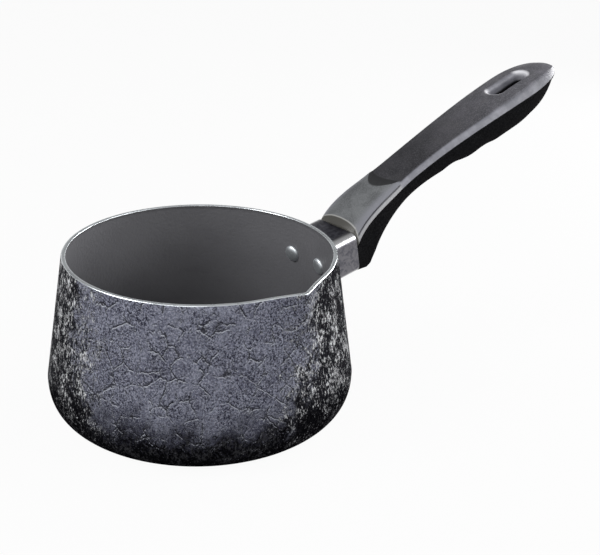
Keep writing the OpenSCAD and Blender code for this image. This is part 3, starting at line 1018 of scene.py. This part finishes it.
def nonstick_coating():
    """Dark satin inside coating with a fine orange peel, with painted shade darker towards
    the floor and painted light high on the wall.
    """
    material, tree, shader = new_material("nonstick_coating", IOR=1.45,
                                          Specular_IOR_Level=0.35)
    place = object_place(tree)
    up = split(tree, place)["Z"]
    grain = use_effect(tree, GRAIN, place, Grain=520.0, Drift=35.0)
    marks = use_effect(tree, SMUDGES, place, Size=40.0, Low=0.52, High=0.68)
    base = blend(tree, grain["Unevenness"], NONSTICK, LIGHT_NONSTICK)
    base = lay(tree, base, NONSTICK_MARK, marks["Mask"], 0.3)
    # Painted shade low in the pan and painted light high on its wall
    base = lay(tree, base, NONSTICK_PAINTED_SHADE, fade(tree, up, 70 * MM, 12 * MM), 0.4)
    base = lay(tree, base, NONSTICK_PAINTED_LIGHT, fade(tree, up, 45 * MM, 83 * MM), 0.35)
    bump(tree, shader, grain["Height"], 0.35 * MM, 0.8)
    rough = fade(tree, grain["Unevenness"], 0.3, 0.7, 0.40, 0.48)
    feed(tree, shader, Base_Color=base, Roughness=rough)
    return material


def bare_aluminium(name, level, rough_low, rough_high, scale):
    """Turned or domed bare aluminium with light wear."""
    material, tree, shader = new_material(name, Metallic=1.0)
    place = object_place(tree)
    grain = use_effect(tree, GRAIN, place, Grain=scale, Drift=120.0)
    base = blend(tree, grain["Unevenness"], grey(level * 0.88, (0.90, 0.96, 1.0)),
                 grey(level, (0.93, 0.97, 1.0)))
    bump(tree, shader, grain["Height"], 0.05 * MM, 0.5)
    rough = fade(tree, grain["Unevenness"], 0.3, 0.7, rough_low, rough_high)
    feed(tree, shader, Base_Color=base, Roughness=rough)
    return material


def polished_steel():
    """Polished sheet with faint smudges and a few scuffs, with a painted reflection light
    beside its corners and dark in the middle of its faces, and a painted highlight along its
    corners.
    """
    material, tree, shader = new_material("polished_steel", Metallic=1.0)
    place = object_place(tree)
    smudge = use_effect(tree, SMUDGES, place, Size=380.0, Low=0.40, High=0.62)
    scuff = use_effect(tree, SMUDGES, stretched(tree, place, (0.35, 1.0, 1.0)),
                       Size=420.0, Low=0.66, High=0.74)
    grain = use_effect(tree, GRAIN, place, Grain=700.0, Drift=200.0)
    across = maths(tree, "ABSOLUTE", split(tree, place)["Y"])
    side = COLLAR_W / 2
    # Painted reflection: lighter beside the corners, dark in the middle of each face
    middle = fade(tree, across, side - 4 * MM, side - 8 * MM)
    sheet = blend(tree, middle, SHEET_REFLECTION_LIGHT, SHEET_REFLECTION_DARK)
    smudged = blend(tree, middle, SMUDGE_REFLECTION_LIGHT, SMUDGE_REFLECTION_DARK)
    base = blend(tree, smudge["Mask"], sheet, smudged)
    # Painted highlight along the rounded corners
    corner = times(tree, fade(tree, across, side - 6 * MM, side - 3 * MM),
                   fade(tree, across, side - 0.2 * MM, side - 1 * MM))
    base = lay(tree, base, CORNER_HIGHLIGHT, corner, 0.85)
    base = lay(tree, base, SCUFF, scuff["Mask"], 0.6)
    bump(tree, shader, grain["Unevenness"], 0.1 * MM, 0.5)
    rough = fade(tree, smudge["Mask"], 0.0, 1.0, 0.28, 0.34)
    feed(tree, shader, Base_Color=base, Roughness=rough)
    return material


def moulded_plastic():
    """Black moulded handle: a satin shell with painted highlights along its edges, round a
    sunk pad of grained soft grip."""
    material, tree, shader = new_material("moulded_plastic", Specular_IOR_Level=0.0,
                                          Coat_Roughness=0.30, Coat_IOR=1.45)
    place = object_place(tree)
    spot = split(tree, place)
    along = spot["X"]
    grip = marked(tree, "grip")
    outward = marked(tree, "outward")
    grain = use_effect(tree, GRAIN, place, Grain=1300.0, Drift=75.0)
    marks = use_effect(tree, SMUDGES, place, Size=60.0, Low=0.5, High=0.7)
    drift = fade(tree, grain["Unevenness"], 0.35, 0.65)

    front = blend(tree, drift, SHELL, LIGHT_SHELL)
    front = lay(tree, front, SHELL_GRAIN, fade(tree, grain["Height"], 0.46, 0.60), 0.4)
    # Painted highlight: a lighter band along the crease and a brighter line at it
    front = blend(tree, fade(tree, outward, 0.55, 0.86), front, SHELL_BAND_HIGHLIGHT)
    front = blend(tree, fade(tree, outward, 0.915, 0.94), front, SHELL_CREASE_HIGHLIGHT)
    groove = times(tree, fade(tree, outward, 0.875, 0.895), fade(tree, outward, 0.925, 0.905))
    groove = times(tree, groove, fade(tree, grip, 0.6, 0.0))
    front = lay(tree, front, GROOVE, groove, 0.9)

    # A crescent of painted shade against the collar, with a painted highlight line round it
    bow = maths(tree, "POWER", maths(tree, "DIVIDE", spot["Y"], FRONT_W / 2), 2.0)
    crest = fade(tree, bow, 0.0, 1.0, SEAM_X + 0.75 * MM, SEAM_X)
    past = minus(tree, along, crest)
    front = blend(tree, fade(tree, past, 0.2 * MM, -0.2 * MM), front, CRESCENT_SHADE)
    line = fade(tree, maths(tree, "ABSOLUTE", past), 0.45 * MM, 0.1 * MM)
    front = blend(tree, line, front, CRESCENT_HIGHLIGHT)

    soft = blend(tree, drift, GRIP, LIGHT_GRIP)
    soft = lay(tree, soft, GRIP_GRAIN, fade(tree, grain["Height"], 0.48, 0.62), 0.6)
    soft = lay(tree, soft, GRIP_MARK, marks["Mask"], 0.4)
    # Painted light and shade: the pad darker near the neck and lighter towards the tip
    soft = scaled(tree, soft, fade(tree, along, NECK_X, PALM_X, 0.64, 1.75))

    # Painted highlight along the edges, more widely towards the palm
    inner = fade(tree, along, EDGE_HIGHLIGHT_START, EDGE_HIGHLIGHT_END, 0.80, 0.62)
    softness = fade(tree, along, EDGE_HIGHLIGHT_START, EDGE_HIGHLIGHT_END, 0.07, 0.38)
    edge_highlight = fade(tree, outward, inner, plus(tree, inner, softness))
    edge_highlight = times(tree, edge_highlight, fade(tree, along, EDGE_HIGHLIGHT_START, EDGE_HIGHLIGHT_END, 1.0, 0.75))
    soft = blend(tree, edge_highlight, soft, blend(tree, drift, GRIP_EDGE_HIGHLIGHT, PALE_GRIP_EDGE_HIGHLIGHT))
    # Painted highlight towards the slot's ends
    soft = lay(tree, soft, SLOT_HIGHLIGHT, marked(tree, "slot_highlight"), 0.85)

    base = blend(tree, grip, front, soft)
    # Painted shade on the slope down to the sunk pad
    step = times(tree, fade(tree, grip, 0.02, 0.15), fade(tree, grip, 0.98, 0.85))
    step = times(tree, step, fade(tree, outward, 0.84, 0.70))
    base = lay(tree, base, PAD_STEP_SHADE, step, 0.9)
    flank = blend(tree, fade(tree, grain["Height"], 0.42, 0.62), FLANK, LIGHT_FLANK)
    base = blend(tree, fade(tree, outward, 1.0, 1.03), base, flank)
    height = minus(tree, times(tree, grain["Height"], 0.6), groove)
    bump(tree, shader, height, 0.15 * MM, 0.8)
    rough = add(tree, "ShaderNodeMapRange", {"Value": grip, "To Min": 0.5, "To Max": 0.7})
    sheen = fade(tree, outward, 0.99, 1.04, 0.35, 0.02)
    feed(tree, shader, Base_Color=base, Roughness=rough.outputs["Result"], Coat_Weight=sheen)
    return material


def plated_steel():
    """Zinc-plated steel of the bracket and the screw."""
    material, tree, shader = new_material("plated_steel", Metallic=1.0)
    place = object_place(tree)
    smudge = use_effect(tree, SMUDGES, place, Size=200.0, Low=0.4, High=0.7)
    base = blend(tree, smudge["Mask"], PLATED, DULL_PLATED)
    rough = fade(tree, smudge["Mask"], 0.0, 1.0, 0.30, 0.45)
    feed(tree, shader, Base_Color=base, Roughness=rough)
    return material


# ---------------------------------------------------------------- the object

def keep(piece, node):
    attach(piece, "root")
    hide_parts(node)


def build_object():
    satin = bare_aluminium("satin_aluminium", 0.70, 0.46, 0.54, 900.0)
    steel = plated_steel()
    pan = build_pan(crackled_coating(), nonstick_coating(),
                    bare_aluminium("turned_rim", 0.72, 0.24, 0.34, 600.0))
    keep(pan, "pan_body")
    keep(build_rivet("rivet_dome_left", 1, satin), "rivet_left")
    keep(build_rivet("rivet_dome_right", -1, satin), "rivet_right")
    keep(build_collar(polished_steel()), "collar")
    keep(build_handle(moulded_plastic()), "handle")
    keep(build_screw(steel), "handle_screw")
    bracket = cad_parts["handle_bracket"]
    bracket.data.materials.clear()
    bracket.data.materials.append(steel)


# ---------------------------------------------------------------- camera and studio

CAMERA_PLACE = Vector((-0.26741, -0.39645, 0.27392))
CAMERA_HEADING = math.radians(49.87)
CAMERA_PITCH = math.radians(-23.12)
CAMERA_ROLL = math.radians(2.0)
LENS = 60.0
SENSOR_WIDTH = 36.0
STUDIO_SIZE = 8
LAMP_AIM = (0.06, 0, 0.06)


def add_camera():
    deselect()
    bpy.ops.object.camera_add(location=CAMERA_PLACE)
    camera = bpy.context.object
    camera.name = "studio_camera"
    forward = Vector((math.cos(CAMERA_HEADING) * math.cos(CAMERA_PITCH),
                      math.sin(CAMERA_HEADING) * math.cos(CAMERA_PITCH),
                      math.sin(CAMERA_PITCH)))
    turn = forward.to_track_quat("-Z", "Y") @ Quaternion((0, 0, 1), CAMERA_ROLL)
    camera.rotation_mode = "QUATERNION"
    camera.rotation_quaternion = turn
    camera.data.lens = LENS
    camera.data.sensor_width = SENSOR_WIDTH
    camera.data.clip_start = 0.01
    camera.data.clip_end = 20.0
    bpy.context.scene.camera = camera


def add_lamp(name, place, aim, size, power):
    deselect()
    bpy.ops.object.light_add(type="AREA", location=place)
    lamp = bpy.context.object
    lamp.name = name
    lamp.rotation_euler = (Vector(aim) - Vector(place)).to_track_quat("-Z", "Y").to_euler()
    lamp.data.shape = "RECTANGLE"
    lamp.data.size, lamp.data.size_y = size
    lamp.data.energy = power


def background_rays(tree):
    """1 for the rays that show the plain background: seen, mirrored or let through."""
    rays = add(tree, "ShaderNodeLightPath").outputs
    shown = maths(tree, "MAXIMUM", rays["Is Camera Ray"], rays["Is Glossy Ray"])
    return maths(tree, "MAXIMUM", shown, rays["Is Transmission Ray"])


def add_floor():
    """A matt sheet under the pan that shows as plain white."""
    deselect()
    bpy.ops.mesh.primitive_plane_add(size=STUDIO_SIZE, location=(0, 0, 0))
    floor = bpy.context.object
    floor.name = "studio_floor"
    paper = bpy.data.materials.new("studio_paper")
    paper.use_nodes = True
    tree = paper.node_tree
    shader = tree.nodes["Principled BSDF"]
    shader.inputs["Base Color"].default_value = (0.35, 0.35, 0.35, 1)
    shader.inputs["Roughness"].default_value = 0.9
    seen = background_rays(tree)
    glow = add(tree, "ShaderNodeEmission", {"Color": (1, 1, 1, 1), "Strength": 1.0})
    mixed = add(tree, "ShaderNodeMixShader", {0: times(tree, seen, 0.95),
                                              1: shader.outputs["BSDF"],
                                              2: glow.outputs["Emission"]})
    tree.links.new(mixed.outputs[0], tree.nodes["Material Output"].inputs["Surface"])
    floor.data.materials.append(paper)


def add_air():
    """Soft light from above, and plain white where the background shows."""
    scene = bpy.context.scene
    scene.view_settings.view_transform = "Standard"
    world = bpy.data.worlds.new("studio_air")
    scene.world = world
    world.use_nodes = True
    tree = world.node_tree
    sky = tree.nodes["Background"]
    direction = add(tree, "ShaderNodeTexCoord").outputs["Generated"]
    up = split(tree, direction)["Z"]
    level = fade(tree, up, 0.2, 0.95, 0.05, 0.6)
    backdrop = times(tree, background_rays(tree), fade(tree, up, 0.5, 0.1))
    white = blend(tree, backdrop, level, (1, 1, 1, 1))
    tree.links.new(white, sky.inputs["Color"])
    sky.inputs["Strength"].default_value = 1.0


def add_lamps():
    add_lamp("left_softbox", (-0.75, 0.25, 0.75), LAMP_AIM, (0.5, 0.5), 9)
    add_lamp("right_softbox", (0.70, -0.66, 0.60), LAMP_AIM, (0.75, 0.6), 9)
    add_lamp("front_softbox", (-0.75, -0.75, 0.75), LAMP_AIM, (0.6, 0.5), 6)
    add_lamp("back_lamp", (0.93, 0.02, 0.30), (0.25, 0, 0.12), (0.45, 0.4), 6)


build_object()
add_floor()
add_air()
add_lamps()
add_camera()
